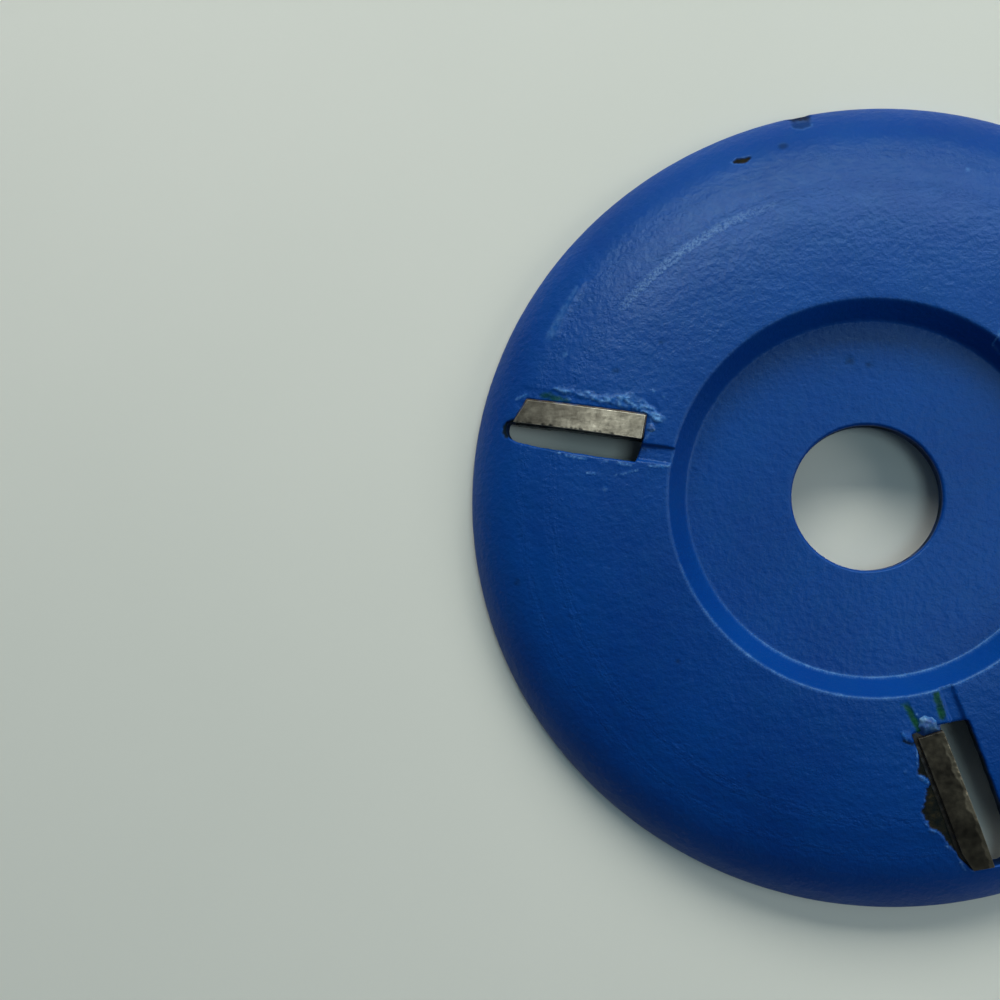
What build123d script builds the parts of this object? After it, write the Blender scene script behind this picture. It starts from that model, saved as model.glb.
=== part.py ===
from build123d import *
import math
import os

# Three-tooth arc carving disc for an angle grinder.
# Millimetres. Origin: bore axis at the back face of the hub plate.
# +Z points towards the domed cutting face. Seen from +Z the disc turns counter-clockwise.

# ---------------------------------------------------------------- driving dimensions
outer_r = 45.0             # 90 mm disc
bore_r = 8.0               # 16 mm spindle bore
hub_t = 3.0                # hub plate thickness, which is also the bore length
floor_r = 19.6             # flat floor of the nut recess
crown_r = 21.45            # upper edge of the recess wall
crown_z = 6.05             # height of the crown above the hub's back face
boss_r = 22.3              # hub boss radius on the back face
boss_top_r = 23.7          # where the boss wall meets the back of the dome
edge_r = 0.35              # soft edges of the pressing

# slope of the domed face in degrees below horizontal, against radius; each step is one tangent arc
crown_slope = [(crown_r, 2.4), (30.0, 7.2), (35.8, 13.3), (36.2, 16.8), (36.9, 15.4), (38.3, 16.5),
               (39.5, 19.0), (41.0, 27.0), (43.0, 36.0), (44.84, 52.0)]
rim_z = -0.90              # height of the widest line of the rim
rim_bottom_z = -1.90       # lowest line of the rim, which the disc rests on
rim_foot_r = 44.25         # its radius
# the hollow back of the dome, the same way
back_start = (24.3, 2.95)
back_slope = [(24.3, 4.0), (30.0, 8.0), (36.0, 14.0), (39.5, 18.0), (41.5, 24.0), (43.4, 34.0)]

# teeth: the tip's long side lies at "angle", and stands behind the radius it is parallel to.
# The tips are set by hand, so each has its own small offsets. u runs outward along the tooth,
# v across it, + ahead in the direction of rotation.
tip_proud = 0.62           # leading edge above the domed face
tip_relief = 8.0           # fall of the top land behind the leading edge, degrees
seat_in_u = 25.0           # inner end of the slot
end_gap = 0.15             # braze at the tip's ends
runout_w = 1.8             # width of the cutter run-out from the chip window to the recess
runout_d = 0.42            # its depth at the slot
bead_r = 1.75              # braze bead at the tip's inner end
bead_back = 0.95           # its centre, inwards from the tip
teeth = [
    {"n": 1, "angle": 170.35, "lead_v": -2.42, "w": 2.72, "u_in": 25.08, "u_out": 40.25, "chamfer": [(39.00, -1.0)],
     "gap": 0.15, "fill_down": 0.08, "window_v": 0.12, "runout_v": -1.00, "bead_h": 0.22},
    {"n": 2, "angle": 290.35, "lead_v": -2.13, "w": 2.66, "u_in": 25.58, "u_out": 41.10, "chamfer": [(40.85, -0.80), (38.80, -1.0)],
     "gap": 0.45, "fill_down": 0.45, "window_v": 0.62, "runout_v": -0.50, "bead_h": 0.42},
    {"n": 3, "angle": 50.35, "lead_v": -2.30, "w": 2.70, "u_in": 25.30, "u_out": 40.65, "chamfer": [(40.10, -0.75), (38.95, -1.0)],
     "gap": 0.25, "fill_down": 0.15, "window_v": 0.35, "runout_v": -0.80, "bead_h": 0.30},
]
# leading wall and rounded outer end of the chip window, before each tooth's own shift
window_pts = [(25.42, 0.07), (29.5, 0.08), (34.0, 0.03), (37.5, -0.08), (39.4, -0.28), (40.5, -0.62),
              (41.05, -1.15), (41.25, -1.75)]


# ---------------------------------------------------------------- dome and back as chains of tangent arcs
def arc_chain(table, start_z):
    out, z = [], start_z
    for (r1, a1), (r2, a2) in zip(table, table[1:]):
        s1, s2 = math.sin(math.radians(a1)), math.sin(math.radians(a2))
        c1, c2 = math.cos(math.radians(a1)), math.cos(math.radians(a2))
        rad = (r2 - r1) / (s2 - s1)
        out.append((r1, z, r2, z - rad * (c1 - c2), rad, s1, c1))
        z -= rad * (c1 - c2)
    return out


dome_chain = arc_chain(crown_slope, crown_z)
back_chain = arc_chain(back_slope, back_start[1])


def height(chain, r):
    for r1, z1, r2, z2, rad, s1, c1 in chain:
        if r <= r2:
            s = s1 + (max(r, chain[0][0] - 3.0) - r1) / rad
            return z1 - rad * (c1 - math.sqrt(1 - s * s))
    return chain[-1][3]


def dome_z(r):
    return height(dome_chain, r)


def back_z(r):
    return height(back_chain, r)


def draw_chain(chain, lift=0.0, r_from=None, r_to=None, flip=False):
    # draws the arcs between two radii inside the current BuildLine, from the inside out or back
    items = []
    for r1, z1, r2, z2, rad, s1, c1 in chain:
        a = r1 if r_from is None else max(r1, r_from)
        b = r2 if r_to is None else min(r2, r_to)
        if r_from is not None and r1 == chain[0][0]:
            a = r_from
        if b - a < 1e-6:
            continue
        m = (a + b) / 2
        items.append(((a, height(chain, a) + lift), (m, height([(r1, z1, r2, z2, rad, s1, c1)], m) + lift), (b, height([(r1, z1, r2, z2, rad, s1, c1)], b) + lift)))
    for i in range(len(items) - 1):
        items[i + 1] = (items[i][2], items[i + 1][1], items[i + 1][2])
    for p, m, q in (reversed(items) if flip else items):
        ThreePointArc(q, m, p) if flip else ThreePointArc(p, m, q)
    return items[0][0], items[-1][2]


# ---------------------------------------------------------------- pressed and turned body
def body_of_revolution():
    wall = math.atan2(crown_z - hub_t, crown_r - floor_r)
    # recess floor corner, a small hollow radius
    t1 = edge_r * math.tan(wall / 2)
    f1 = (floor_r - t1, hub_t)
    f2 = (floor_r + t1 * math.cos(wall), hub_t + t1 * math.sin(wall))
    fm = (f1[0] + edge_r * math.sin(wall / 2), hub_t + edge_r - edge_r * math.cos(wall / 2))
    # crown edge, a small round that starts on the wall and ends tangent to the crown
    start = math.radians(crown_slope[0][1])
    turn = wall + start
    t2 = edge_r * math.tan(turn / 2)
    c1 = (crown_r - t2 * math.cos(wall), crown_z - t2 * math.sin(wall))
    cc = (c1[0] + edge_r * math.sin(wall), c1[1] - edge_r * math.cos(wall))
    c2 = (cc[0] + edge_r * math.sin(start), cc[1] + edge_r * math.cos(start))
    c2 = (c2[0], dome_z(c2[0]))
    mid = math.pi / 2 + (wall - start) / 2
    cm = (cc[0] + edge_r * math.cos(mid), cc[1] + edge_r * math.sin(mid))
    a = math.radians(crown_slope[-1][1])
    rim = (outer_r, rim_z)
    low = (rim_foot_r, rim_bottom_z)
    with BuildPart() as part:
        with BuildSketch(Plane.XZ):
            with BuildLine():
                Polyline((bore_r, 0), (bore_r, hub_t), f1)
                ThreePointArc(f1, fm, f2)
                Line(f2, c1)
                ThreePointArc(c1, cm, c2)
                p, q = draw_chain(dome_chain, r_from=c2[0])
                TangentArc(q, rim, tangent=(math.cos(a), -math.sin(a)))
                TangentArc(rim, low, tangent=(0, -1))
                e0, e1 = (back_chain[0][0], back_chain[0][1]), (back_chain[-1][2], back_chain[-1][3])
                Line(low, (rim_foot_r - 0.35, rim_bottom_z))
                Line((rim_foot_r - 0.35, rim_bottom_z), e1)
                draw_chain(back_chain, flip=True)
                b1 = (boss_top_r, e0[1] - 0.14)
                b2 = (boss_r + 0.12, 0.35)
                b3 = (boss_r - 0.25, 0.0)
                ThreePointArc(e0, ((e0[0] + b1[0]) / 2 - 0.03, e0[1] - 0.02), b1)
                Line(b1, b2)
                ThreePointArc(b2, (boss_r + 0.01, 0.10), b3)
                Line(b3, (bore_r, 0))
            make_face()
        revolve(axis=Axis.Z)
    return part.part


def tooth_plane(t, z=0.0):
    # local X runs outward along the tooth, local Y points ahead in the direction of rotation
    a = math.radians(t["angle"])
    return Plane(origin=(0, 0, z), x_dir=(math.cos(a), math.sin(a), 0), z_dir=(0, 0, 1))


def side_plane(t, v):
    # plane of the tooth's side view: local X outward, local Y up, normal pointing behind the tooth
    a = math.radians(t["angle"])
    o = (-math.sin(a) * v, math.cos(a) * v, 0)
    return Plane(origin=o, x_dir=(math.cos(a), math.sin(a), 0), z_dir=(math.sin(a), -math.cos(a), 0))


def prism(t, pts, z0, z1):
    with BuildPart() as p:
        with BuildSketch(tooth_plane(t, z0)):
            with BuildLine():
                Polyline(*pts, close=True)
            make_face()
        extrude(amount=z1 - z0)
    return p.part


def seat_outline(t, grow=0.0, lead=0.0):
    # the tip's outline with its braze gaps; the inner end is the slot's own
    g, e = t["gap"] + grow, end_gap + grow
    vl, vt = t["lead_v"] - lead, t["lead_v"] - t["w"] - g
    pts = [(seat_in_u - grow, vt), (seat_in_u - grow, vl), (t["u_out"] + e, vl)]
    pts += [(u + e, t["lead_v"] + f * t["w"] - (g if f == -1.0 else 0.0)) for u, f in t["chamfer"]]
    return pts


def tip_outline(t):
    vl, vt = t["lead_v"], t["lead_v"] - t["w"]
    return [(t["u_in"], vt), (t["u_in"], vl), (t["u_out"], vl)] + [(u, vl + f * t["w"]) for u, f in t["chamfer"]]


def window_outline(t):
    return [(24.95, t["lead_v"])] + [(u, v + t["window_v"]) for u, v in window_pts] + [(41.15, t["lead_v"])]


# ---------------------------------------------------------------- carbide tip
def carbide_tip(t):
    # the top land is one ground arc that stands clear of the dome, falling away behind the leading edge
    u0, um, u1 = t["u_in"] - 0.8, (t["u_in"] + t["u_out"]) / 2, t["u_out"] + 0.8
    def edge(u, proud):
        return (u, dome_z(math.hypot(u, t["lead_v"])) + proud)
    a, r = math.radians(t["angle"]), math.radians(tip_relief)
    ahead = 0.5
    lift = ahead * math.tan(r)
    with BuildPart() as p:
        with BuildSketch(side_plane(t, t["lead_v"] + ahead)):
            with BuildLine():
                ThreePointArc(edge(u0, tip_proud - 0.02), edge(um, tip_proud + 0.06), edge(u1, tip_proud + 0.10))
                Polyline(edge(u1, tip_proud + 0.10), (u1, -6.0), (u0, -6.0), edge(u0, tip_proud - 0.02))
            make_face()
        d = (math.sin(a) * math.cos(r), -math.cos(a) * math.cos(r), -math.sin(r))
        extrude(amount=(t["w"] + 2 * ahead) / math.cos(r), dir=d)
    solid = p.part.moved(Location((0, 0, lift))) & prism(t, tip_outline(t), -5.5, 9.0)
    # flat ground base, parallel to the chord of the dome
    ua, ub = t["u_in"], t["u_out"]
    za, zb = back_z(ua) - 0.35, back_z(ub) - 0.35
    m = (zb - za) / (ub - ua)
    with BuildPart() as q:
        with BuildSketch(side_plane(t, 2.0)):
            with BuildLine():
                Polyline((ua - 3, za - 3 * m), (ub + 3, zb + 3 * m), (ub + 3, -12), (ua - 3, -12), close=True)
            make_face()
        extrude(amount=12)
    return solid - q.part


# ---------------------------------------------------------------- build
blank = body_of_revolution()
body = blank
for t in teeth:
    body = body - prism(t, seat_outline(t), -6.0, 9.0)
    body = body - prism(t, window_outline(t), -6.0, 9.0)
    # cutter run-out: a shallow channel that rises from the slot to the recess wall
    v0, v1 = t["runout_v"] - runout_w / 2, t["runout_v"] + runout_w / 2
    zs = dome_z(25.2) - runout_d
    ze = dome_z(crown_r + 0.2) - 0.22
    with BuildPart() as g:
        with BuildSketch(side_plane(t, v1)):
            with BuildLine():
                Polyline((25.6, zs - 0.04), (20.6, ze + 0.04), (20.6, 9.0), (25.6, 9.0), close=True)
            make_face()
        extrude(amount=v1 - v0)
    body = body - g.part

tips = {t["n"]: carbide_tip(t) for t in teeth}
brazes = {}
for t in teeth:
    tip = tips[t["n"]]
    # braze metal fills the seat around the tip up to just under the painted face
    with BuildPart() as band:
        with BuildSketch(Plane.XZ):
            with BuildLine():
                p0, p1 = draw_chain(dome_chain, lift=-t["fill_down"], r_from=24.0, r_to=42.4)
                q0, q1 = draw_chain(back_chain, lift=-0.22, r_from=24.6, r_to=42.2, flip=True)
                Line(p1, q1)
                Line(q0, p0)
            make_face()
        revolve(axis=Axis.Z)
    layer = prism(t, seat_outline(t, grow=0.35, lead=0.06), -6.0, 9.0) & band.part
    # bead at the tip's inner end, a low mound that stands on the dome and runs down into the joint
    a = math.radians(t["angle"])
    bu, bv = t["u_in"] - bead_back, t["lead_v"] - t["w"] * 0.52
    bx, by = bu * math.cos(a) - bv * math.sin(a), bu * math.sin(a) + bv * math.cos(a)
    bead = Sphere(bead_r).moved(Location((bx, by, dome_z(math.hypot(bx, by)) + t["bead_h"] - bead_r)))
    keep = prism(t, [(bu - 2.5, bv - 1.12), (bu - 2.5, bv + 1.12), (t["u_in"] + 0.3, bv + 1.12), (t["u_in"] + 0.3, bv - 1.12)], 3.9, 9.0)
    # fillet of braze on the back, in the corner behind the tip
    vt = t["lead_v"] - t["w"]
    f0, f1 = 28.0, 37.5
    m = (back_z(f1) - back_z(f0)) / (f1 - f0)
    with BuildPart() as f:
        with BuildSketch(Plane(origin=(f0 * math.cos(a), f0 * math.sin(a), 0), x_dir=(-math.sin(a), math.cos(a), 0), z_dir=(math.cos(a), math.sin(a), 0))):
            with BuildLine():
                zc = back_z(f0)
                Polyline((vt + 0.4, zc + 0.9), (vt + 0.4, zc - 0.72), (vt, zc - 0.72), (vt - t["gap"] - 0.70, zc + 0.02), (vt - t["gap"] - 0.70, zc + 0.9), close=True)
            make_face()
        d = Vector(math.cos(a), math.sin(a), m).normalized()
        extrude(amount=(f1 - f0) * math.sqrt(1 + m * m), dir=(d.X, d.Y, d.Z))
    whole = layer + f.part + (bead & keep)
    brazes[t["n"]] = (whole - body) - tip

os.makedirs("parts", exist_ok=True)
body.label = "disc_body"
export_step(body, "parts/disc_body.step")
for t in teeth:
    n = t["n"]
    tips[n].label = "carbide_tip_%d" % n
    export_step(tips[n], "parts/carbide_tip_%d.step" % n)
    brazes[n].label = "braze_joint_%d" % n
    export_step(brazes[n], "parts/braze_joint_%d.step" % n)

for name, s in [("disc_body", body)] + [("tip%d" % k, v) for k, v in tips.items()] + [("braze%d" % k, v) for k, v in brazes.items()]:
    bb = s.bounding_box()
    print(name, "solids", len(s.solids()), "vol", round(s.volume, 3), "min", [round(v, 2) for v in bb.min], "max", [round(v, 2) for v in bb.max])
print("rim edge meets", [round(dome_z(44.84), 3)], "rim widest", rim_z)
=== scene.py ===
import bpy, math
import numpy as np
from mathutils import Matrix, Vector
from mathutils.geometry import delaunay_2d_cdt


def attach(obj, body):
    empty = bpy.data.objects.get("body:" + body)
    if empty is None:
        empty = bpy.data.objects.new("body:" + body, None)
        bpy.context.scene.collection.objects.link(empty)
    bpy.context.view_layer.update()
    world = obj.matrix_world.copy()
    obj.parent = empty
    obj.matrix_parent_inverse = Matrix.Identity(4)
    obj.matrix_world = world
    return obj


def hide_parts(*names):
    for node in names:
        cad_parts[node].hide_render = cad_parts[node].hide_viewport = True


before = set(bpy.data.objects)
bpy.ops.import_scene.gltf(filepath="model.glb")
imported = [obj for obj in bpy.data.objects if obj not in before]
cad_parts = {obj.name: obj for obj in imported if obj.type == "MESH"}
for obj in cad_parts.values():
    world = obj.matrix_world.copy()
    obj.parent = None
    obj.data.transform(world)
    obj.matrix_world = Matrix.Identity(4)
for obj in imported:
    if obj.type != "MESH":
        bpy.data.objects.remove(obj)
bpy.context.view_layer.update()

MM = 0.001

# ------------------------------------------------------------------ dimensions, millimetres, as the CAD has them
OUTER_R, BORE_R, HUB_T, FLOOR_R, CROWN_R, CROWN_Z, EDGE = 45.0, 8.0, 3.0, 19.6, 21.45, 6.05, 0.35
CROWN_SLOPE = [(CROWN_R, 2.4), (30.0, 7.2), (35.8, 13.3), (36.2, 16.8), (36.9, 15.4), (38.3, 16.5),
               (39.5, 19.0), (41.0, 27.0), (43.0, 36.0), (44.84, 52.0)]
BACK_SLOPE = [(24.3, 4.0), (30.0, 8.0), (36.0, 14.0), (39.5, 18.0), (41.5, 24.0), (43.4, 34.0)]
RIM_Z, RIM_BOTTOM, FOOT_R = -0.90, -1.90, 44.25
TEETH = [
    {"n": 1, "angle": 170.35, "lead": -2.42, "w": 2.72, "u0": 25.08, "u1": 40.25, "chamfer": [(39.00, -1.0)],
     "gap": 0.15, "fill": 0.08, "win": 0.12, "run": -1.00, "bead": 0.22},
    {"n": 2, "angle": 290.35, "lead": -2.13, "w": 2.66, "u0": 25.58, "u1": 41.10, "chamfer": [(40.85, -0.80), (38.80, -1.0)],
     "gap": 0.45, "fill": 0.45, "win": 0.62, "run": -0.50, "bead": 0.42},
    {"n": 3, "angle": 50.35, "lead": -2.30, "w": 2.70, "u0": 25.30, "u1": 40.65, "chamfer": [(40.10, -0.75), (38.95, -1.0)],
     "gap": 0.25, "fill": 0.15, "win": 0.35, "run": -0.80, "bead": 0.30}]
WIN = [(25.42, 0.07), (29.5, 0.08), (34.0, 0.03), (37.5, -0.08), (39.4, -0.28), (40.5, -0.62), (41.05, -1.15), (41.25, -1.75)]


# ------------------------------------------------------------------ profiles
def arc_chain(table, z):
    out = []
    for (r1, a1), (r2, a2) in zip(table, table[1:]):
        s1, s2 = math.sin(math.radians(a1)), math.sin(math.radians(a2))
        c1, c2 = math.cos(math.radians(a1)), math.cos(math.radians(a2))
        rad = (r2 - r1) / (s2 - s1)
        out.append((r1, z, r2, rad, s1, c1)); z -= rad * (c1 - c2)
    return out


def chain_z(chain, r):
    for r1, z1, r2, rad, s1, c1 in chain:
        if r <= r2 + 1e-9:
            s = s1 + (max(r, chain[0][0] - 3.0) - r1) / rad
            return z1 - rad * (c1 - math.sqrt(max(0.0, 1 - s * s)))
    r1, z1, r2, rad, s1, c1 = chain[-1]
    s = min(0.999, s1 + (r - r1) / rad)
    return z1 - rad * (c1 - math.sqrt(1 - s * s))


DOME, BACK = arc_chain(CROWN_SLOPE, CROWN_Z), arc_chain(BACK_SLOPE, 2.95)
wall = math.atan2(CROWN_Z - HUB_T, CROWN_R - FLOOR_R)
prof = [(0.0, HUB_T)]
t1 = EDGE * math.tan(wall / 2)
for k in range(9):
    a = wall * k / 8
    prof.append((FLOOR_R - t1 + EDGE * math.sin(a), HUB_T + EDGE * (1 - math.cos(a))))
turn = wall + math.radians(CROWN_SLOPE[0][1]); t2 = EDGE * math.tan(turn / 2)
cx, cz = CROWN_R - t2 * math.cos(wall), CROWN_Z - t2 * math.sin(wall)
cc = (cx + EDGE * math.sin(wall), cz - EDGE * math.cos(wall))
for k in range(11):
    a = math.pi / 2 + wall - turn * k / 10
    prof.append((cc[0] + EDGE * math.cos(a), cc[1] + EDGE * math.sin(a)))
last = prof[-1][0]
for r in np.arange(last + 0.05, 44.841, 0.05):
    prof.append((float(r), chain_z(DOME, float(r))))
prof.append((44.84, chain_z(DOME, 44.84)))
PR, PZ = np.array([p[0] for p in prof]), np.array([p[1] for p in prof])
bprof = [(0.0, 0.0), (22.05, 0.0), (22.2, 0.03), (22.31, 0.10), (22.38, 0.22), (22.42, 0.35), (23.62, 2.66), (23.72, 2.80), (23.85, 2.89), (24.05, 2.93)]
bprof += [(float(r), chain_z(BACK, float(r))) for r in np.arange(24.3, 43.4, 0.1)] + [(43.4, chain_z(BACK, 43.4)), (46.0, chain_z(BACK, 43.4) - 2.0)]
BR, BZ = np.array([p[0] for p in bprof]), np.array([p[1] for p in bprof])
DR = np.arange(18.0, 45.2, 0.05); DZ = np.array([chain_z(DOME, float(r)) for r in DR])


def dome_z(r): return np.interp(r, DR, DZ)


# ------------------------------------------------------------------ seeded noise
def noise(x, y, wl, seed):
    rs = np.random.RandomState(seed); T = 257
    ang = rs.rand(T, T) * 2 * math.pi
    X, Y = np.asarray(x) / wl + 97.31, np.asarray(y) / wl + 41.73
    xi, yi = np.floor(X).astype(int), np.floor(Y).astype(int)
    fx, fy = X - xi, Y - yi
    def gr(ix, iy, dx, dy):
        a = ang[ix % T, iy % T]
        return np.cos(a) * dx + np.sin(a) * dy
    u, v = fx ** 3 * (fx * (fx * 6 - 15) + 10), fy ** 3 * (fy * (fy * 6 - 15) + 10)
    n0 = gr(xi, yi, fx, fy) * (1 - u) + gr(xi + 1, yi, fx - 1, fy) * u
    n1 = gr(xi, yi + 1, fx, fy - 1) * (1 - u) + gr(xi + 1, yi + 1, fx - 1, fy - 1) * u
    return (n0 * (1 - v) + n1 * v) * 1.5


def step(a, b, x):
    t = np.clip((np.asarray(x) - a) / (b - a), 0, 1)
    return t * t * (3 - 2 * t)


# ------------------------------------------------------------------ plane geometry
def line_dist(px, py, pts, closed=False):
    d = np.full(np.shape(px), 1e9)
    n = len(pts)
    for i in range(n if closed else n - 1):
        ax, ay = pts[i]; bx, by = pts[(i + 1) % n]
        ex, ey = bx - ax, by - ay; L = ex * ex + ey * ey + 1e-12
        t = np.clip(((px - ax) * ex + (py - ay) * ey) / L, 0, 1)
        d = np.minimum(d, np.hypot(px - ax - t * ex, py - ay - t * ey))
    return d


def inside(px, py, pts):
    c = np.zeros(np.shape(px), bool); n = len(pts)
    for i in range(n):
        ax, ay = pts[i]; bx, by = pts[(i + 1) % n]
        if ay == by: continue
        cond = (ay > py) != (by > py)
        c ^= cond & (px < (bx - ax) * (py - ay) / (by - ay) + ax)
    return c


def sd(px, py, pts):
    d = line_dist(px, py, pts, True)
    return np.where(inside(px, py, pts), -d, d)


def resample(pts, h, closed=True, keep=None):
    out = []
    n = len(pts)
    for i in range(n if closed else n - 1):
        a, b = np.array(pts[i], float), np.array(pts[(i + 1) % n], float)
        k = max(1, int(round(np.linalg.norm(b - a) / h)))
        for j in range(k): out.append(a + (b - a) * j / k)
    if not closed: out.append(np.array(pts[-1], float))
    return np.array(out)


def hexgrid(x0, y0, x1, y1, h, seed=5, jit=0.12):
    rs = np.random.RandomState(seed)
    ny = int((y1 - y0) / (h * 0.8660)) + 1; nx = int((x1 - x0) / h) + 1
    J, I = np.meshgrid(np.arange(ny), np.arange(nx), indexing="ij")
    x = x0 + (I + 0.5 * (J % 2)) * h; y = y0 + J * h * 0.8660
    x = x + (rs.rand(*x.shape) - 0.5) * h * jit * 2; y = y + (rs.rand(*y.shape) - 0.5) * h * jit * 2
    return np.stack([x.ravel(), y.ravel()], 1)


def rows_off(loop, ds, hmin):
    # rows of points beside a closed loop, on its outer side for a loop that runs counter-clockwise
    out = []
    p, q = np.roll(loop, 1, 0), np.roll(loop, -1, 0)
    t = q - p; t /= np.linalg.norm(t, axis=1)[:, None] + 1e-12
    nrm = np.stack([t[:, 1], -t[:, 0]], 1)
    pts = [tuple(a) for a in loop]
    for d in ds:
        c = loop + nrm * d
        dist = line_dist(c[:, 0], c[:, 1], pts, True)
        c = c[dist > abs(d) * 0.93]
        if len(c):
            keep = [0]; lastp = c[0]
            gap = max(hmin, abs(d) * 0.0)
            for i in range(1, len(c)):
                if (c[i][0] - lastp[0]) ** 2 + (c[i][1] - lastp[1]) ** 2 > (gap * 0.55) ** 2:
                    keep.append(i); lastp = c[i]
            c = c[keep]
        out.append(c)
    return out


def ccw(pts):
    a = sum(p[0] * q[1] - q[0] * p[1] for p, q in zip(pts, list(pts[1:]) + [pts[0]]))
    return list(pts) if a > 0 else list(pts)[::-1]


def cdt(loops, free, kind=0):
    # loops: closed arrays whose edges are kept; free: loose points. Returns points, triangles, and each loop's indices.
    allp, edges, spans, base = [], [], [], 0
    for L in loops:
        n = len(L); allp.append(L); spans.append((base, n))
        edges += [(base + i, base + (i + 1) % n) for i in range(n)]; base += n
    allp.append(free); P = np.concatenate(allp)
    v, e, f, ov, oe, of_ = delaunay_2d_cdt([Vector((float(a), float(b))) for a, b in P], edges, [], kind, 1e-7)
    m = {}
    for i, src in enumerate(ov):
        for s in src: m[s] = i
    V = np.array([(a.x, a.y) for a in v]); F = np.array([t for t in f if len(t) == 3])
    idx = [np.array([m[s + i] for i in range(n)]) for s, n in spans]
    return V, F, idx


def orient(V, F):
    a, b, c = V[F[:, 0]], V[F[:, 1]], V[F[:, 2]]
    ar = (b[:, 0] - a[:, 0]) * (c[:, 1] - a[:, 1]) - (b[:, 1] - a[:, 1]) * (c[:, 0] - a[:, 0])
    F = F[np.abs(ar) > 1e-9]; ar = ar[np.abs(ar) > 1e-9]
    G = F.copy(); G[ar < 0] = F[ar < 0][:, ::-1]
    return G


class Build:
    def __init__(s): s.v, s.f, s.a, s.n = [], [], {}, 0
    def verts(s, P, **attr):
        P = np.asarray(P, float); s.v.append(P); b = s.n; s.n += len(P)
        s.a.setdefault("_n", []).append(len(P))
        for k in ("light", "burnt", "green", "dark", "paint"):
            s.a.setdefault(k, []).append(np.broadcast_to(np.asarray(attr.get(k, 0.0), float), (len(P),)).copy())
        return b
    def tris(s, F): s.f += [tuple(int(i) for i in t) for t in F]
    def strip(s, A, B, flip=False):
        n = len(A)
        for i in range(n):
            j = (i + 1) % n
            q = (int(A[i]), int(A[j]), int(B[j]), int(B[i]))
            s.f.append(q[::-1] if flip else q)
    def make(s, name, mat):
        P = np.concatenate(s.v) * MM
        me = bpy.data.meshes.new(name); me.from_pydata(P.tolist(), [], s.f); me.validate(); me.update()
        for k in ("light", "burnt", "green", "dark", "paint"):
            at = me.attributes.new(k, "FLOAT", "POINT"); at.data.foreach_set("value", np.concatenate(s.a[k]).astype(np.float32))
        me.polygons.foreach_set("use_smooth", np.ones(len(me.polygons), bool))
        me.materials.append(mat)
        o = bpy.data.objects.new(name, me); bpy.context.scene.collection.objects.link(o)
        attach(o, "root")
        return o


def to_uv(x, y, t):
    a = math.radians(t["angle"]); return x * math.cos(a) + y * math.sin(a), -x * math.sin(a) + y * math.cos(a)


def to_xy(u, v, t):
    a = math.radians(t["angle"]); return u * math.cos(a) - v * math.sin(a), u * math.sin(a) + v * math.cos(a)


# ------------------------------------------------------------------ slots
def seat_pts(t, grow=0.0, lead=0.0):
    g, e = t["gap"] + grow, 0.15 + grow
    vl, vt = t["lead"] - lead, t["lead"] - t["w"] - g
    return [(25.0 - grow, vt), (25.0 - grow, vl), (t["u1"] + e, vl)] + [(u + e, t["lead"] + f * t["w"] - (g if f == -1.0 else 0.0)) for u, f in t["chamfer"]]


def slot_pts(t):
    s = seat_pts(t)
    pts = [s[0], (24.96, t["lead"] + 0.05)] + [(u, v + t["win"]) for u, v in WIN]
    pts += [(41.15, t["lead"] + 0.04)]
    if t["u1"] + 0.15 < 41.05: pts += [(t["u1"] + 0.17, t["lead"] + 0.02)]
    return pts + s[3:]


def round_pts(pts, rad, closed=True):
    # small rounds at the corners, and curves through the window's bends
    out = []; n = len(pts)
    for i in range(n):
        a, b, c = (np.array(pts[(i + k) % n], float) for k in (-1, 0, 1))
        la, lc = np.linalg.norm(a - b), np.linalg.norm(c - b)
        d = min(rad, la * 0.45, lc * 0.45)
        p, q = b + (a - b) / la * d, b + (c - b) / lc * d
        for k in range(5):
            s = k / 4; out.append((1 - s) ** 2 * p + 2 * s * (1 - s) * b + s * s * q)
    return [tuple(p) for p in out]


for t in TEETH:
    rs = np.random.RandomState(100 + t["n"])
    base = ccw(round_pts(slot_pts(t), 0.22))
    L = resample(base, 0.16)
    keep = np.linalg.norm(L - np.roll(L, 1, 0), axis=1) > 0.045; L = L[keep]
    # the cut edge is a little uneven along the window, never inwards of the tip's seat
    w = step(t["lead"] + 0.6, t["lead"] + 1.2, L[:, 1])
    L[:, 1] += w * (0.05 * noise(L[:, 0], L[:, 1], 1.3, 7 + t["n"]) + 0.025 * noise(L[:, 0], L[:, 1], 0.45, 17 + t["n"]))
    t["loop_uv"] = L
    X, Y = to_xy(L[:, 0], L[:, 1], t); t["loop"] = np.stack([X, Y], 1)
    t["poly"] = [tuple(p) for p in t["loop"]]
    t["coarse"] = [tuple(p) for p in ccw(slot_pts(t))]

# ------------------------------------------------------------------ surface features beside the teeth, in u and v
FLAKE_1 = [(36.6, -6.75), (35.53, -7.13), (34.59, -7.08), (33.01, -6.80), (31.82, -6.85), (30.74, -6.65), (28.75, -7.10), (27.04, -7.34), (25.64, -6.80),
           (24.19, -5.95), (22.9, -4.96), (23.1, -4.5), (24.42, -4.75), (25.39, -5.34), (26.89, -5.62), (28.39, -5.85), (30.45, -5.85), (32.28, -6.10), (33.82, -6.25), (35.1, -6.55)]
GREEN_1 = [(37.8, -6.2), (36.5, -6.35), (34.4, -5.9), (33.9, -5.55), (36.0, -5.45), (37.6, -5.75)]
BURNT_2 = [(25.97, -4.70), (26.3, -5.0), (27.38, -5.30), (28.37, -5.75), (29.21, -6.20), (29.55, -5.62), (29.92, -5.08), (30.34, -5.08), (30.82, -5.77), (32.14, -6.50),
           (32.8, -7.10), (33.66, -7.15), (34.43, -6.95), (35.08, -6.85), (35.64, -6.14), (37.05, -5.85), (38.18, -5.30), (39.3, -5.05), (39.2, -4.5), (26.0, -4.4)]
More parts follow.
